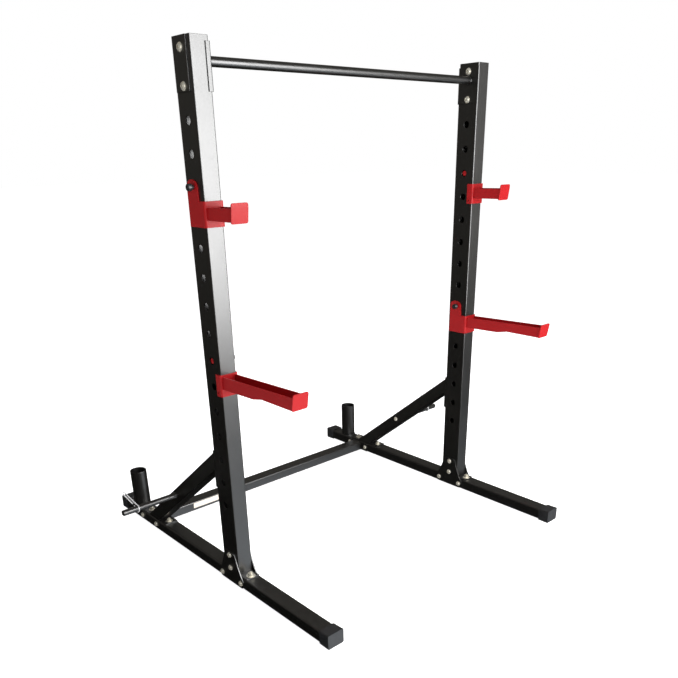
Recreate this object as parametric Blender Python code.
"""Two-post squat stand with a pull-up bar, bar cups, spotter arms and plate pegs.

Metres, +Z up, +X along the pull-up bar, -Y is the lifter's side, where the arms point.
The origin is on the floor at the centre of the stand's footprint.
"""

import math

import bmesh
import bpy
from mathutils import Matrix, Vector

# Clearance kept between pieces that touch.
GAP = 0.0003

# Floor frame.
BASE_FRONT = 0.540
BASE_REAR = 0.873
UPRIGHT_Y = (BASE_FRONT - BASE_REAR) / 2
SPAN = 1.222
BASE_WIDTH = 0.060
BASE_HEIGHT = 0.045
BASE_LIFT = 0.003
BASE_TOP = BASE_LIFT + BASE_HEIGHT
BASE_MIDDLE = BASE_LIFT + BASE_HEIGHT / 2
TUBE_WALL = 0.003

# Uprights and the row of holes that the cups and the arms hang from.
POST_WIDTH = 0.060
POST_DEPTH = 0.090
POST_TOP = 1.729
POST_CORNER = 0.004
CAP_HEIGHT = 0.012
FOOT_PLATE = 0.004
HOLE_PITCH = 0.086
HOLE_COUNT = 15
TOP_HOLE = 1.524
HOLE_RADIUS = 0.012
CUP_HOLE = 2
ARM_HOLE = 8

# Pull-up bar and the plates that clamp it to the uprights.
BAR_HEIGHT = 1.672
BAR_RADIUS = 0.0135
PLATE = 0.004
END_PLATE_LOW = 1.594
BACKING_TOP = 1.729
END_PLATE_TOP = 1.715
END_LIP_WIDTH = 0.012
END_PLATE = 0.003
END_BEND = 0.004
BACKING_FRONT = 0.029
BACKING_REAR = 0.039
END_BOLTS = (1.6085, 1.701)

# Foot gussets.
GUSSET_TOP = 0.136
GUSSET_TOP_HALF = 0.032
GUSSET_SHOULDER = 0.0465
GUSSET_HALF = 0.0755
GUSSET_LOW = 0.006
GUSSET_BOLTS = ((0.0, 0.121), (0.0, 0.0675), (-0.0585, 0.0255), (0.0585, 0.0255))
BOLT_RADIUS = 0.005
BOLT_HEAD = 0.0095

# Rear crossmember, braces, bar holders and plate pegs, measured back from the uprights.
CROSS_BACK = 0.628
CROSS_DEPTH = 0.060
CROSS_HEIGHT = 0.041
FLANGE_HALF = 0.075
LABEL_START = -0.4415
LABEL_SIZE = (0.180, 0.0006, 0.0235)
LABEL_HEIGHT = 0.0293
BRACE_WIDTH = 0.058
BRACE_THICK = 0.0533
BRACE_SLOPE = 0.785
BRACE_UPPER = 0.5448
BRACE_FOOT = (0.488, 0.673)
HOLDER_BACK = 0.736
HOLDER_RADIUS = 0.034
HOLDER_TOP = 0.212
PEG_BACK = 0.3535
PEG_HEIGHT = 0.237
PEG_RADIUS = 0.0112
PEG_LENGTH = 0.228
CLIP_REACH = 0.164
CLIP_WIRE = 0.0021
CLIP_RISE = 0.009

# Folded sheet of the cups and the arms, in heights from the pin's axis.
SHEET = 0.004
WEB_TOP = -0.0375
WEB_LOW = -0.110
EAR_MIDDLE = 0.009
EAR_HALF = 0.028
EAR_RISE = 0.021
EAR_FRONT = -0.022
SIDE_BACK = 0.036
SHORT_BACK = -0.0225
BEND_OUTSIDE = 0.007
BEND_INSIDE = 0.003
DRAIN_HOLE = (-0.0305, -0.099)
DRAIN_RADIUS = 0.0034
PIN_RADIUS = 0.0095
PIN_INSET = 0.003
KNOB_NECK = 0.0065
KNOB_RADIUS = 0.0105
KNOB_START = 0.007
KNOB_LENGTH = 0.021
ARM_WIDTH = 0.052
LIP_WIDTH = 0.058
LIP_CORNER = 0.006
CUP_PROFILE = ((0.0, -0.054), (-0.122, -0.0525), (-0.122, -0.0895), (0.0, -0.090))
CUP_LIP = ((-0.1195, -0.094), (-0.124, -0.094), (-0.130, -0.051), (-0.1302, -0.038),
           (-0.1260, -0.038), (-0.1258, -0.051))
ARM_PROFILE = ((0.0, -0.0435), (-0.356, -0.0315), (-0.356, -0.0705), (-0.205, -0.0705),
               (-0.160, -0.080), (0.0, -0.085))
ARM_LIP = ((-0.353, -0.072), (-0.3575, -0.072), (-0.366, -0.020), (-0.3615, -0.020))

SIDES = {"left": -1, "right": 1}


def clear_scene():
    for item in list(bpy.data.objects):
        bpy.data.objects.remove(item, do_unlink=True)


def collection(name):
    group = bpy.data.collections.new(name)
    bpy.context.scene.collection.children.link(group)
    return group


def material(name, color, roughness, metallic=0.0):
    """A Principled material of one finish."""
    finish = bpy.data.materials.new(name)
    finish.use_nodes = True
    shader = finish.node_tree.nodes["Principled BSDF"]
    shader.inputs["Base Color"].default_value = (*color, 1.0)
    shader.inputs["Roughness"].default_value = roughness
    shader.inputs["Metallic"].default_value = metallic
    return finish


def add_object(name, mesh, finish, group):
    item = bpy.data.objects.new(name, mesh)
    group.objects.link(item)
    if finish is not None:
        mesh.materials.append(finish)
    return item


def mesh_of(bm, name, smooth=False):
    bmesh.ops.recalc_face_normals(bm, faces=bm.faces)
    mesh = bpy.data.meshes.new(name)
    bm.to_mesh(mesh)
    bm.free()
    if smooth:
        mesh.shade_smooth()
        mesh.set_sharp_from_angle(angle=math.radians(35))
    return mesh


def box_mesh(name, size, center, corner=0.0, along=2):
    """A block; the four edges that run along one axis may be rounded."""
    bm = bmesh.new()
    bmesh.ops.create_cube(bm, size=1.0)
    bmesh.ops.scale(bm, vec=size, verts=bm.verts)
    if corner:
        long_edges = [e for e in bm.edges
                      if abs((e.verts[0].co - e.verts[1].co)[along]) > size[along] / 2]
        bmesh.ops.bevel(bm, geom=long_edges, offset=corner, segments=3, profile=0.5,
                        affect="EDGES")
    bmesh.ops.translate(bm, vec=center, verts=bm.verts)
    return mesh_of(bm, name)


def rod_mesh(name, radius, start, end, segments=16, smooth=True):
    """A round bar from one point to another."""
    start, end = Vector(start), Vector(end)
    run = end - start
    turn = run.to_track_quat("Z", "Y").to_matrix().to_4x4()
    bm = bmesh.new()
    bmesh.ops.create_cone(bm, cap_ends=True, segments=segments, radius1=radius,
                          radius2=radius, depth=run.length,
                          matrix=Matrix.Translation((start + end) / 2) @ turn)
    return mesh_of(bm, name, smooth)


def joined_mesh(name, meshes):
    """Several separate closed shapes in one mesh, for a cutter with many holes."""
    bm = bmesh.new()
    for mesh in meshes:
        bm.from_mesh(mesh)
        bpy.data.meshes.remove(mesh)
    joined = bpy.data.meshes.new(name)
    bm.to_mesh(joined)
    bm.free()
    return joined


def outline_mesh(name, points, thickness, place):
    """A flat plate: a filled outline in its local XY, as thick as told, then placed."""
    curve = bpy.data.curves.new(name, "CURVE")
    curve.dimensions = "2D"
    curve.fill_mode = "BOTH"
    curve.extrude = thickness / 2
    spline = curve.splines.new("POLY")
    spline.points.add(len(points) - 1)
    for spot, (x, y) in zip(spline.points, points):
        spot.co = (x, y, 0.0, 1.0)
    spline.use_cyclic_u = True
    holder = bpy.data.objects.new(name + "_outline", curve)
    bpy.context.scene.collection.objects.link(holder)
    bpy.context.view_layer.update()
    depsgraph = bpy.context.evaluated_depsgraph_get()
    flat = bpy.data.meshes.new_from_object(holder.evaluated_get(depsgraph))
    bm = bmesh.new()
    bm.from_mesh(flat)
    bmesh.ops.remove_doubles(bm, verts=bm.verts, dist=0.00001)
    bmesh.ops.transform(bm, matrix=place, verts=bm.verts)
    bpy.data.objects.remove(holder, do_unlink=True)
    bpy.data.curves.remove(curve)
    bpy.data.meshes.remove(flat)
    return mesh_of(bm, name)


def facing_x(x, y=0.0, z=0.0):
    """Turns a plate so its outline's x and y become the stand's Y and Z, at depth x."""
    turn = Matrix(((0, 0, 1), (1, 0, 0), (0, 1, 0))).to_4x4()
    return Matrix.Translation((x, y, z)) @ turn


def boolean(item, tool_mesh, operation, cutters):
    """Cuts a shape out of an object, or joins one to it, with a modifier."""
    tool = add_object(f"{item.name}_{operation.lower()}_{len(item.modifiers)}", tool_mesh, None,
                      cutters)
    tool.hide_render = True
    tool.display_type = "WIRE"
    step = item.modifiers.new(operation.title(), "BOOLEAN")
    step.operation = operation
    step.solver = "EXACT"
    step.object = tool


def hollow(item, size, center, corner, along, cutters):
    """Opens a block into a tube of the common wall."""
    inner = [s - 2 * TUBE_WALL for s in size]
    inner[along] = size[along] + 0.02
    tool = box_mesh(item.name + "_bore", inner, center, max(corner - TUBE_WALL, 0.001), along)
    boolean(item, tool, "DIFFERENCE", cutters)


def hole_row(name, radius, spots, half, segments=12):
    """Cutters along X through the given (x, y, z) centres."""
    return joined_mesh(name, [rod_mesh(name, radius, (x - half, y, z), (x + half, y, z), segments)
                              for x, y, z in spots])


def set_origin(item, point):
    """Moves an object's origin to a point and leaves its shape where it is."""
    item.data.transform(Matrix.Translation(-Vector(point)))
    item.location = point


def back(distance):
    """The Y of a place that far behind the uprights' axis."""
    return UPRIGHT_Y + distance


def arc(center, radius_x, radius_y, start, end, steps):
    """Points along an elliptical arc, in degrees."""
    angles = [math.radians(start + (end - start) * i / steps) for i in range(steps + 1)]
    return [(center[0] + radius_x * math.cos(a), center[1] + radius_y * math.sin(a))
            for a in angles]


def bolt_places():
    """Through bolts along X: name, (y, z), and half the length between their heads."""
    half = POST_WIDTH / 2 + END_PLATE + 2 * GAP
    places = [(f"end_bolt_{name}", (UPRIGHT_Y, z), half)
              for name, z in zip(("lower", "upper"), END_BOLTS)]
    half = POST_WIDTH / 2 + PLATE + 2 * GAP
    names = ("post_upper", "post_lower", "front", "rear")
    return places + [(f"gusset_bolt_{name}", (UPRIGHT_Y + y, z), half)
                     for name, (y, z) in zip(names, GUSSET_BOLTS)]


def build_uprights(black, plastic, parts, cutters):
    """Two rectangular tubes with a row of through holes, and a plug in each top."""
    low = BASE_TOP + FOOT_PLATE + 2 * GAP
    size = (POST_WIDTH, POST_DEPTH, POST_TOP - low)
    for name, side in SIDES.items():
        x = side * SPAN / 2
        center = (x, UPRIGHT_Y, (low + POST_TOP) / 2)
        post = add_object(f"upright_{name}",
                          box_mesh(f"upright_{name}", size, center, POST_CORNER), black, parts)
        hollow(post, size, center, POST_CORNER, 2, cutters)
        holes = [(x, UPRIGHT_Y, TOP_HOLE - i * HOLE_PITCH) for i in range(HOLE_COUNT)]
        boolean(post, hole_row("pin_holes", HOLE_RADIUS, holes, POST_WIDTH, 16), "DIFFERENCE",
                cutters)
        screws = [(x, y, z) for _, (y, z), _ in bolt_places() if z > BASE_TOP]
        boolean(post, hole_row("bolt_holes", BOLT_RADIUS + GAP, screws, POST_WIDTH), "DIFFERENCE",
                cutters)
        bore = 2 * TUBE_WALL + 2 * GAP
        cap_size = (POST_WIDTH - bore, POST_DEPTH - bore, CAP_HEIGHT)
        cap_center = (x, UPRIGHT_Y, POST_TOP - CAP_HEIGHT / 2)
        add_object(f"upright_cap_{name}",
                   box_mesh("upright_cap", cap_size, cap_center, POST_CORNER - TUBE_WALL), plastic,
                   parts)


def build_bar(black, parts, cutters):
    """The pull-up bar, its lipped end plates and the backing plates outside the uprights."""
    inner = SPAN / 2 - POST_WIDTH / 2 - GAP
    reach = inner - END_PLATE - GAP
    bar = add_object("pull_up_bar",
                     rod_mesh("pull_up_bar", BAR_RADIUS, (-reach, UPRIGHT_Y, BAR_HEIGHT),
                              (reach, UPRIGHT_Y, BAR_HEIGHT), 20), black, parts)
    bore = rod_mesh("bar_bore", BAR_RADIUS - 0.0025, (-SPAN, UPRIGHT_Y, BAR_HEIGHT),
                    (SPAN, UPRIGHT_Y, BAR_HEIGHT), 20)
    boolean(bar, bore, "DIFFERENCE", cutters)
    height = END_PLATE_TOP - END_PLATE_LOW
    middle = (END_PLATE_TOP + END_PLATE_LOW) / 2
    backing_height = BACKING_TOP - END_PLATE_LOW
    front = POST_DEPTH / 2 + GAP + END_PLATE
    for name, side in SIDES.items():
        plan = [(inner - END_PLATE, POST_DEPTH / 2), (inner, POST_DEPTH / 2),
                (inner, END_PLATE - front), (inner + END_LIP_WIDTH, END_PLATE - front),
                (inner + END_LIP_WIDTH, -front)]
        plan += arc((inner - END_PLATE + END_BEND, END_BEND - front), END_BEND, END_BEND,
                    270, 180, 4)
        plate = add_object(f"bar_plate_{name}",
                           outline_mesh("bar_plate", [(side * x, y) for x, y in plan], height,
                                        Matrix.Translation((0.0, UPRIGHT_Y, middle))), black, parts)
        spots = [(side * inner, UPRIGHT_Y, z) for z in END_BOLTS]
        boolean(plate, hole_row("bar_plate_holes", BOLT_RADIUS + GAP, spots, 0.02), "DIFFERENCE",
                cutters)
        outer = side * (SPAN / 2 + POST_WIDTH / 2 + GAP + END_PLATE / 2)
        backing = add_object(f"backing_plate_{name}",
                             box_mesh("backing_plate",
                                      (END_PLATE, BACKING_REAR + BACKING_FRONT, backing_height),
                                      (outer, UPRIGHT_Y + (BACKING_REAR - BACKING_FRONT) / 2,
                                       END_PLATE_LOW + backing_height / 2)), black, parts)
        spots = [(outer, UPRIGHT_Y, z) for z in END_BOLTS]
        boolean(backing, hole_row("backing_holes", BOLT_RADIUS + GAP, spots, 0.02), "DIFFERENCE",
                cutters)


def build_base(black, plastic, parts, cutters):
    """Floor tubes with a moulded foot over each end, and the plates that stand on them."""
    cap_length = 0.046
    for name, side in SIDES.items():
        x = side * SPAN / 2
        length = BASE_FRONT + BASE_REAR - 0.010
        size = (BASE_WIDTH, length, BASE_HEIGHT)
        center = (x, 0.0, BASE_MIDDLE)
        tube = add_object(f"base_tube_{name}",
                          box_mesh("base_tube", size, center, 0.006, 1), black, parts)
        hollow(tube, size, center, 0.006, 1, cutters)
        spots = [(x, y, z) for _, (y, z), _ in bolt_places() if z < BASE_TOP]
        boolean(tube, hole_row("base_holes", BOLT_RADIUS + GAP, spots, BASE_WIDTH), "DIFFERENCE",
                cutters)
        for end, way in (("front", -1), ("rear", 1)):
            foot = foot_mesh(x, way * (BASE_FRONT + BASE_REAR) / 2, way, cap_length)
            cap = add_object(f"foot_cap_{end}_{name}", foot, plastic, parts)
            socket = box_mesh("foot_socket",
                              (BASE_WIDTH + 2 * GAP, 2 * cap_length, BASE_HEIGHT + 2 * GAP),
                              (x, way * ((BASE_FRONT + BASE_REAR) / 2 - 0.005 + GAP - cap_length),
                               BASE_MIDDLE), 0.006, 1)
            boolean(cap, socket, "DIFFERENCE", cutters)
        foot_length = 0.135
        add_object(f"upright_foot_{name}",
                   box_mesh("upright_foot", (0.054, foot_length, FOOT_PLATE),
                            (x, UPRIGHT_Y + POST_DEPTH / 2 - foot_length / 2,
                             BASE_TOP + GAP + FOOT_PLATE / 2)), black, parts)


def foot_mesh(x, end, way, length):
    """A moulded foot: a block that is deepest and widest at its outer face."""
    bm = bmesh.new()
    bmesh.ops.create_cube(bm, size=1.0)
    bmesh.ops.scale(bm, vec=(0.067, length, 0.054), verts=bm.verts)
    bmesh.ops.translate(bm, vec=(x, end - way * length / 2, 0.027), verts=bm.verts)
    bmesh.ops.bevel(bm, geom=[e for e in bm.edges if abs((e.verts[0].co - e.verts[1].co).y) > 0.01],
                    offset=0.005, segments=2, profile=0.5, affect="EDGES")
    inner_end = end - way * length
    for vert in bm.verts:
        if abs(vert.co.y - inner_end) < 0.001:
            vert.co.x = x + (vert.co.x - x) * 0.97
            vert.co.z *= 0.97
    return mesh_of(bm, "foot_cap")


def gusset_outline():
    """Half the plate by a concave flank from the post down to the base, then its mirror."""
    flank_x = GUSSET_HALF - 0.008 - GUSSET_TOP_HALF
    flank_z = GUSSET_TOP - 0.008 - GUSSET_SHOULDER
    flank = [(GUSSET_TOP_HALF + flank_x * t, GUSSET_TOP - 0.008 - flank_z * (1.35 * t - 0.35 * t * t))
             for t in (i / 6 for i in range(7))]
    half = [(GUSSET_TOP_HALF - 0.008, GUSSET_TOP)] + flank + [(GUSSET_HALF, 0.036)]
    half += arc((GUSSET_HALF - 0.015, GUSSET_LOW + 0.015), 0.015, 0.015, 0, -90, 3)
    return half + [(-y, z) for y, z in reversed(half)]


def build_gussets(black, parts, cutters):
    """Flared plates bolted to both sides of each upright's foot."""
    for name, side in SIDES.items():
        for face, way in (("outer", 1), ("inner", -1)):
            x = side * SPAN / 2 + side * way * (POST_WIDTH / 2 + GAP + PLATE / 2)
            plate = add_object(f"gusset_{face}_{name}",
                               outline_mesh("gusset", gusset_outline(), PLATE,
                                            facing_x(x, UPRIGHT_Y)), black, parts)
            spots = [(x, UPRIGHT_Y + y, z) for y, z in GUSSET_BOLTS]
            boolean(plate, hole_row("gusset_holes", BOLT_RADIUS + GAP, spots, 0.02), "DIFFERENCE",
                    cutters)


def bolt_mesh(name, x, y, z, half, side):
    """A through bolt: domed socket head outside, domed nut inside, turned about its axis."""
    profile = [(BOLT_RADIUS, -half - 0.0055), (BOLT_HEAD * 0.75, -half - 0.0055),
               (BOLT_HEAD, -half - 0.0025), (BOLT_HEAD, -half), (BOLT_RADIUS, -half),
               (BOLT_RADIUS, half), (BOLT_HEAD, half), (BOLT_HEAD, half + 0.0025),
               (BOLT_HEAD * 0.75, half + 0.0055), (BOLT_RADIUS, half + 0.0055)]
    bm = bmesh.new()
    verts = [bm.verts.new((0.0, 0.0, profile[0][1]))]
    verts += [bm.verts.new((radius, 0.0, height)) for radius, height in profile]
    verts.append(bm.verts.new((0.0, 0.0, profile[-1][1])))
    edges = [bm.edges.new(pair) for pair in zip(verts, verts[1:])]
    bmesh.ops.spin(bm, geom=verts + edges, axis=(0, 0, 1), cent=(0, 0, 0),
                   angle=2 * math.pi, steps=12, use_merge=True)
    bmesh.ops.remove_doubles(bm, verts=bm.verts, dist=0.00001)
    turn = Matrix.Rotation(math.radians(90) * side, 4, "Y")
    bmesh.ops.transform(bm, matrix=Matrix.Translation((x, y, z)) @ turn, verts=bm.verts)
    return mesh_of(bm, name, True)


def build_bolts(zinc, parts):
    for name, side in SIDES.items():
        for label, (y, z), half in bolt_places():
            title = f"{label}_{name}"
            mesh = bolt_mesh(title, side * SPAN / 2, y, z, half + GAP, side)
            add_object(title, mesh, zinc, parts)


def build_crossmember(black, film, parts, cutters):
    """The rear tie between the floor tubes, its end flanges, and the blank label on its front."""
    flange_x = SPAN / 2 - BASE_WIDTH / 2 - GAP - PLATE / 2
    length = 2 * (flange_x - PLATE / 2 - GAP)
    size = (length, CROSS_DEPTH, CROSS_HEIGHT)
    center = (0.0, back(CROSS_BACK), BASE_MIDDLE)
    tube = add_object("crossmember", box_mesh("crossmember", size, center, 0.005, 0), black, parts)
    hollow(tube, size, center, 0.005, 0, cutters)
    label_y = center[1] - CROSS_DEPTH / 2 - GAP - LABEL_SIZE[1] / 2
    label_center = (LABEL_START + LABEL_SIZE[0] / 2, label_y, LABEL_HEIGHT)
    add_object("label", box_mesh("label", LABEL_SIZE, label_center), film, parts)
    for name, side in SIDES.items():
        add_object(f"crossmember_flange_{name}",
                   box_mesh("flange", (PLATE, 2 * FLANGE_HALF, CROSS_HEIGHT),
                            (side * flange_x, back(CROSS_BACK), BASE_MIDDLE), 0.006, 0), black,
                   parts)


def build_braces(black, parts, cutters):
    """Sloping square tubes from the rear of the base up to the back of the uprights."""
    angle = math.atan(BRACE_SLOPE)
    top = BASE_TOP + FOOT_PLATE + 2 * GAP
    face = back(POST_DEPTH / 2 + GAP)
    drop = BRACE_THICK / 2 / math.cos(angle)
    for name, side in SIDES.items():
        x = side * SPAN / 2
        middle = Vector((x, back(0.34), BRACE_UPPER - BRACE_SLOPE * 0.34 - drop))
        bodies = []
        for size in ((BRACE_WIDTH, 1.2, BRACE_THICK),
                     (BRACE_WIDTH - 2 * TUBE_WALL, 1.4, BRACE_THICK - 2 * TUBE_WALL)):
            bm = bmesh.new()
            bmesh.ops.create_cube(bm, size=1.0)
            bmesh.ops.scale(bm, vec=size, verts=bm.verts)
            long_edges = [e for e in bm.edges if abs((e.verts[0].co - e.verts[1].co).y) > 1]
            bmesh.ops.bevel(bm, geom=long_edges, offset=0.004, segments=2, profile=0.5,
                            affect="EDGES")
            place = Matrix.Translation(middle) @ Matrix.Rotation(-angle, 4, "X")
            bmesh.ops.transform(bm, matrix=place, verts=bm.verts)
            if not bodies:
                for spot, normal in (((0, face, 0), (0, -1, 0)), ((0, 0, top), (0, 0, -1))):
                    cut = bmesh.ops.bisect_plane(bm, geom=bm.verts[:] + bm.edges[:] + bm.faces[:],
                                                 plane_co=spot, plane_no=normal, clear_outer=True)
                    rim = [g for g in cut["geom_cut"] if isinstance(g, bmesh.types.BMEdge)]
                    bmesh.ops.contextual_create(bm, geom=rim)
            bodies.append(mesh_of(bm, f"brace_{name}"))
        brace = add_object(f"brace_{name}", bodies[0], black, parts)
        boolean(brace, bodies[1], "DIFFERENCE", cutters)
        front, rear = BRACE_FOOT
        add_object(f"brace_foot_{name}",
                   box_mesh("brace_foot", (0.056, rear - front, FOOT_PLATE),
                            (x, back((front + rear) / 2), BASE_TOP + GAP + FOOT_PLATE / 2)),
                   black, parts)


def build_holders(black, parts, cutters):
    """Open round tubes on the base that a bar stands in."""
    for name, side in SIDES.items():
        x, y = side * SPAN / 2, back(HOLDER_BACK)
        tube = add_object(f"bar_holder_{name}",
                          rod_mesh("bar_holder", HOLDER_RADIUS, (x, y, BASE_TOP + GAP),
                                   (x, y, HOLDER_TOP), 28), black, parts)
        bore = rod_mesh("holder_bore", HOLDER_RADIUS - TUBE_WALL, (x, y, 0.0), (x, y, 0.3), 28)
        boolean(tube, bore, "DIFFERENCE", cutters)


def build_pegs(black, chrome, parts):
    """Plate pegs on the braces' outer sides, each with a spring clip."""
    for name, side in SIDES.items():
        root = SPAN / 2 + BRACE_WIDTH / 2 + GAP
        y, z = back(PEG_BACK), PEG_HEIGHT
        bm = bmesh.new()
        profile = [(0.0, 0.0), (PEG_RADIUS, 0.0), (PEG_RADIUS, PEG_LENGTH - 0.005)]
        profile += [(PEG_RADIUS - 0.005 + 0.005 * math.cos(a), PEG_LENGTH - 0.005 + 0.005 * math.sin(a))
                    for a in (math.radians(30 * i) for i in range(1, 4))]
        profile.append((0.0, PEG_LENGTH))
        verts = [bm.verts.new((radius, 0.0, height)) for radius, height in profile]
        edges = [bm.edges.new(pair) for pair in zip(verts, verts[1:])]
        bmesh.ops.spin(bm, geom=verts + edges, axis=(0, 0, 1), cent=(0, 0, 0),
                       angle=2 * math.pi, steps=16, use_merge=True)
        bmesh.ops.remove_doubles(bm, verts=bm.verts, dist=0.00001)
        turn = Matrix.Rotation(math.radians(90) * side, 4, "Y")
        bmesh.ops.transform(bm, matrix=Matrix.Translation((side * root, y, z)) @ turn,
                            verts=bm.verts)
        add_object(f"plate_peg_{name}", mesh_of(bm, "plate_peg", True), black, parts)
        add_clip(f"peg_clip_{name}", side, (side * (root + CLIP_REACH), y, z), chrome, parts)


def add_clip(name, side, center, chrome, parts):
    """A wire clip: a ring round the peg whose two ends run back and up to a narrow loop."""
    ring = PEG_RADIUS + CLIP_WIRE + GAP
    away = Vector((side * 0.019, 0.050, 0.042))
    start = math.radians(50)
    turns = [start + (2 * math.pi - math.radians(20)) * i / 16 for i in range(17)]
    points = [Vector((side * CLIP_RISE * (1 - i / 16), ring * math.sin(a), ring * math.cos(a)))
              for i, a in enumerate(turns)]
    tip = points[0] + away
    other = points[-1] + away
    loop = [tip.lerp(other, 0.0), tip.lerp(other, 0.15) + away * 0.06,
            tip.lerp(other, 0.85) + away * 0.06, other]
    route = points + [points[-1].lerp(other, 0.5)] + list(reversed(loop)) + [
        points[0].lerp(tip, 0.5) + Vector((0, 0.003, -0.002)),
        points[0].lerp(tip, 0.16) + Vector((0, 0.002, 0.0))]
    curve = bpy.data.curves.new(name, "CURVE")
    curve.dimensions = "3D"
    curve.bevel_depth = CLIP_WIRE
    curve.bevel_resolution = 2
    curve.use_fill_caps = True
    spline = curve.splines.new("POLY")
    spline.points.add(len(route) - 1)
    for spot, place in zip(spline.points, route):
        spot.co = (*place, 1.0)
    clip = bpy.data.objects.new(name, curve)
    curve.materials.append(chrome)
    clip.location = center
    parts.objects.link(clip)


def side_outline(rear):
    """The tall side of a bracket: a straight-backed plate with a rounded ear at the pin."""
    front = -(POST_DEPTH / 2 + GAP + SHEET + 0.001)
    ear = arc((EAR_MIDDLE, 0.0), EAR_HALF, EAR_RISE, 180, 0, 12)
    return [(front, WEB_LOW), (front, WEB_TOP), (EAR_FRONT, WEB_TOP)] + ear + [(rear, WEB_LOW)]


def folded_plan(inside, front):
    """Seen from above: a strip folded round the front of an upright, tall leg on +X."""
    outside, face = inside + SHEET, -(front + SHEET)
    turns = {way: arc((way * (outside - BEND_OUTSIDE), face + BEND_OUTSIDE), BEND_OUTSIDE,
                      BEND_OUTSIDE, start, 270, 4) for way, start in ((1, 360), (-1, 180))}
    inner = {way: arc((way * (inside - BEND_INSIDE), BEND_INSIDE - front), BEND_INSIDE,
                      BEND_INSIDE, start, 270, 2) for way, start in ((1, 360), (-1, 180))}
    outer_side = [(outside, SIDE_BACK)] + turns[1] + turns[-1][::-1] + [(-outside, SHORT_BACK)]
    inner_side = [(-inside, SHORT_BACK)] + inner[-1] + inner[1][::-1] + [(inside, SIDE_BACK)]
    return outer_side + inner_side


def bracket(name, side, way, height, red, parts, cutters):
    """Folded sheet round the front of an upright, hung by the ear on its taller side."""
    inside = POST_WIDTH / 2 + GAP
    middle = side * SPAN / 2
    lean = side * way
    rise = EAR_RISE + GAP - WEB_LOW
    plan = [(lean * x, y) for x, y in folded_plan(inside, POST_DEPTH / 2 + GAP)]
    sheet = outline_mesh(name, plan, 2 * rise, Matrix.Translation((middle, UPRIGHT_Y, height)))
    item = add_object(name, sheet, red, parts)
    shape = outline_mesh("side_shape", side_outline(SIDE_BACK + 0.001), 0.1,
                         facing_x(middle, UPRIGHT_Y, height))
    boolean(item, shape, "INTERSECT", cutters)
    y, z = DRAIN_HOLE
    drain = hole_row("drain", DRAIN_RADIUS,
                     [(middle - lean * inside, UPRIGHT_Y + y, height + z)], 0.01)
    boolean(item, drain, "DIFFERENCE", cutters)
    tall_x = middle + lean * (inside + SHEET / 2)
    pin_end = tall_x - lean * (SHEET / 2 + POST_WIDTH - PIN_INSET)
    pin = rod_mesh("pin", PIN_RADIUS, (tall_x + lean * SHEET / 4, UPRIGHT_Y, height),
                   (pin_end, UPRIGHT_Y, height))
    boolean(item, pin, "UNION", cutters)
    set_origin(item, (middle, UPRIGHT_Y, height))
    return tall_x + lean * SHEET / 2


def knob_mesh(name, x, way, height):
    """A moulded cap on the outer end of the pin, turned about the pin's axis."""
    profile = [(0.0, GAP), (KNOB_NECK, GAP), (KNOB_NECK, KNOB_START),
               (KNOB_RADIUS - 0.001, KNOB_START), (KNOB_RADIUS, KNOB_START + 0.001),
               (KNOB_RADIUS, KNOB_LENGTH - 0.003), (KNOB_RADIUS - 0.001, KNOB_LENGTH - 0.001),
               (KNOB_RADIUS - 0.003, KNOB_LENGTH), (0.0, KNOB_LENGTH)]
    bm = bmesh.new()
    verts = [bm.verts.new((radius, 0.0, run)) for radius, run in profile]
    edges = [bm.edges.new(pair) for pair in zip(verts, verts[1:])]
    bmesh.ops.spin(bm, geom=verts + edges, axis=(0, 0, 1), cent=(0, 0, 0),
                   angle=2 * math.pi, steps=16, use_merge=True)
    bmesh.ops.remove_doubles(bm, verts=bm.verts, dist=0.00001)
    turn = Matrix.Rotation(math.radians(90) * way, 4, "Y")
    bmesh.ops.transform(bm, matrix=Matrix.Translation((x, UPRIGHT_Y, height)) @ turn,
                        verts=bm.verts)
    return mesh_of(bm, name, True)


def lip_mesh(profile, place):
    """The upturned plate at the end of an arm, with its four corners rounded."""
    bm = bmesh.new()
    bm.from_mesh(outline_mesh("arm_lip", profile, LIP_WIDTH, Matrix()))
    heights = (min(v.co.y for v in bm.verts), max(v.co.y for v in bm.verts))
    corners = []
    for edge in bm.edges:
        first, second = (v.co for v in edge.verts)
        level = any(abs(first.y - h) < 0.002 and abs(second.y - h) < 0.002 for h in heights)
        if level and abs(first.z - second.z) < 0.0001:
            corners.append(edge)
    bmesh.ops.bevel(bm, geom=corners, offset=LIP_CORNER, segments=3, profile=0.5, affect="EDGES")
    bmesh.ops.transform(bm, matrix=place, verts=bm.verts)
    return mesh_of(bm, "arm_lip")


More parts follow.
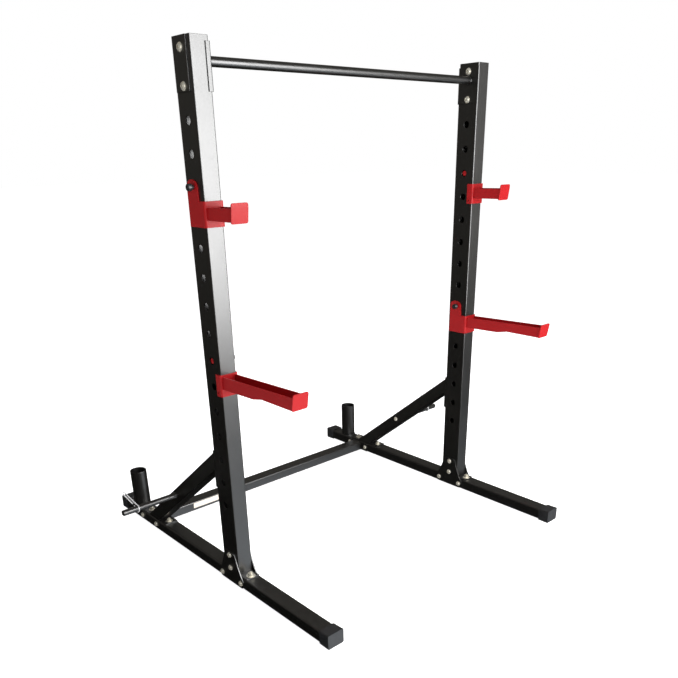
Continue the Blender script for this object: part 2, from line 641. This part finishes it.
def channel_arm(name, side, height, profile, lip, red, parts, cutters):
    """A folded channel, open above, with an upturned plate across its far end."""
    middle = side * SPAN / 2
    root = UPRIGHT_Y - POST_DEPTH / 2 - SHEET - 3 * GAP
    arm = add_object(name, outline_mesh(name, profile, ARM_WIDTH, facing_x(middle, root, height)),
                     red, parts)
    floor = [(y, z + SHEET) for y, z in profile[2:-1]]
    floor.append((0.01, profile[-1][1] + SHEET))
    trough = [(0.01, 0.05), (profile[1][0] + SHEET, 0.05), (profile[1][0] + SHEET, floor[0][1])]
    inside = outline_mesh("arm_inside", trough + floor[1:], ARM_WIDTH - 2 * SHEET,
                          facing_x(middle, root, height))
    boolean(arm, inside, "DIFFERENCE", cutters)
    boolean(arm, lip_mesh(lip, facing_x(middle, root, height)), "UNION", cutters)
    set_origin(arm, (middle, UPRIGHT_Y, height))


def build_hangers(red, black_plastic, parts, cutters):
    """Bar cups with the ear outside the stand, spotter arms with the ear inside it."""
    kinds = (("bar_cup", CUP_HOLE, 1, CUP_PROFILE, CUP_LIP),
             ("spotter", ARM_HOLE, -1, ARM_PROFILE, ARM_LIP))
    for label, hole, way, profile, lip in kinds:
        height = TOP_HOLE - hole * HOLE_PITCH
        for name, side in SIDES.items():
            x = bracket(f"{label}_bracket_{name}", side, way, height, red, parts, cutters)
            channel_arm(f"{label}_arm_{name}", side, height, profile, lip, red, parts, cutters)
            knob = add_object(f"{label}_knob_{name}",
                              knob_mesh(f"{label}_knob", x, side * way, height), black_plastic,
                              parts)
            set_origin(knob, (side * SPAN / 2, UPRIGHT_Y, height))


clear_scene()
stand = collection("squat_stand")
tools = collection("cutters")
black_coat = material("black_powder_coat", (0.012, 0.013, 0.014), 0.38)
red_coat = material("red_powder_coat", (0.55, 0.012, 0.015), 0.35)
black_moulding = material("black_moulding", (0.02, 0.02, 0.022), 0.55)
black_knob = material("black_knob", (0.01, 0.01, 0.01), 0.4)
zinc_plate = material("zinc_plate", (0.55, 0.54, 0.50), 0.3, 1.0)
chrome_wire = material("chrome_wire", (0.75, 0.75, 0.76), 0.12, 1.0)
label_film = material("label_film", (0.68, 0.61, 0.53), 0.4)

build_uprights(black_coat, black_moulding, stand, tools)
build_bar(black_coat, stand, tools)
build_base(black_coat, black_moulding, stand, tools)
build_gussets(black_coat, stand, tools)
build_bolts(zinc_plate, stand)
build_crossmember(black_coat, label_film, stand, tools)
build_braces(black_coat, stand, tools)
build_holders(black_coat, stand, tools)
build_pegs(black_coat, chrome_wire, stand)
build_hangers(red_coat, black_knob, stand, tools)
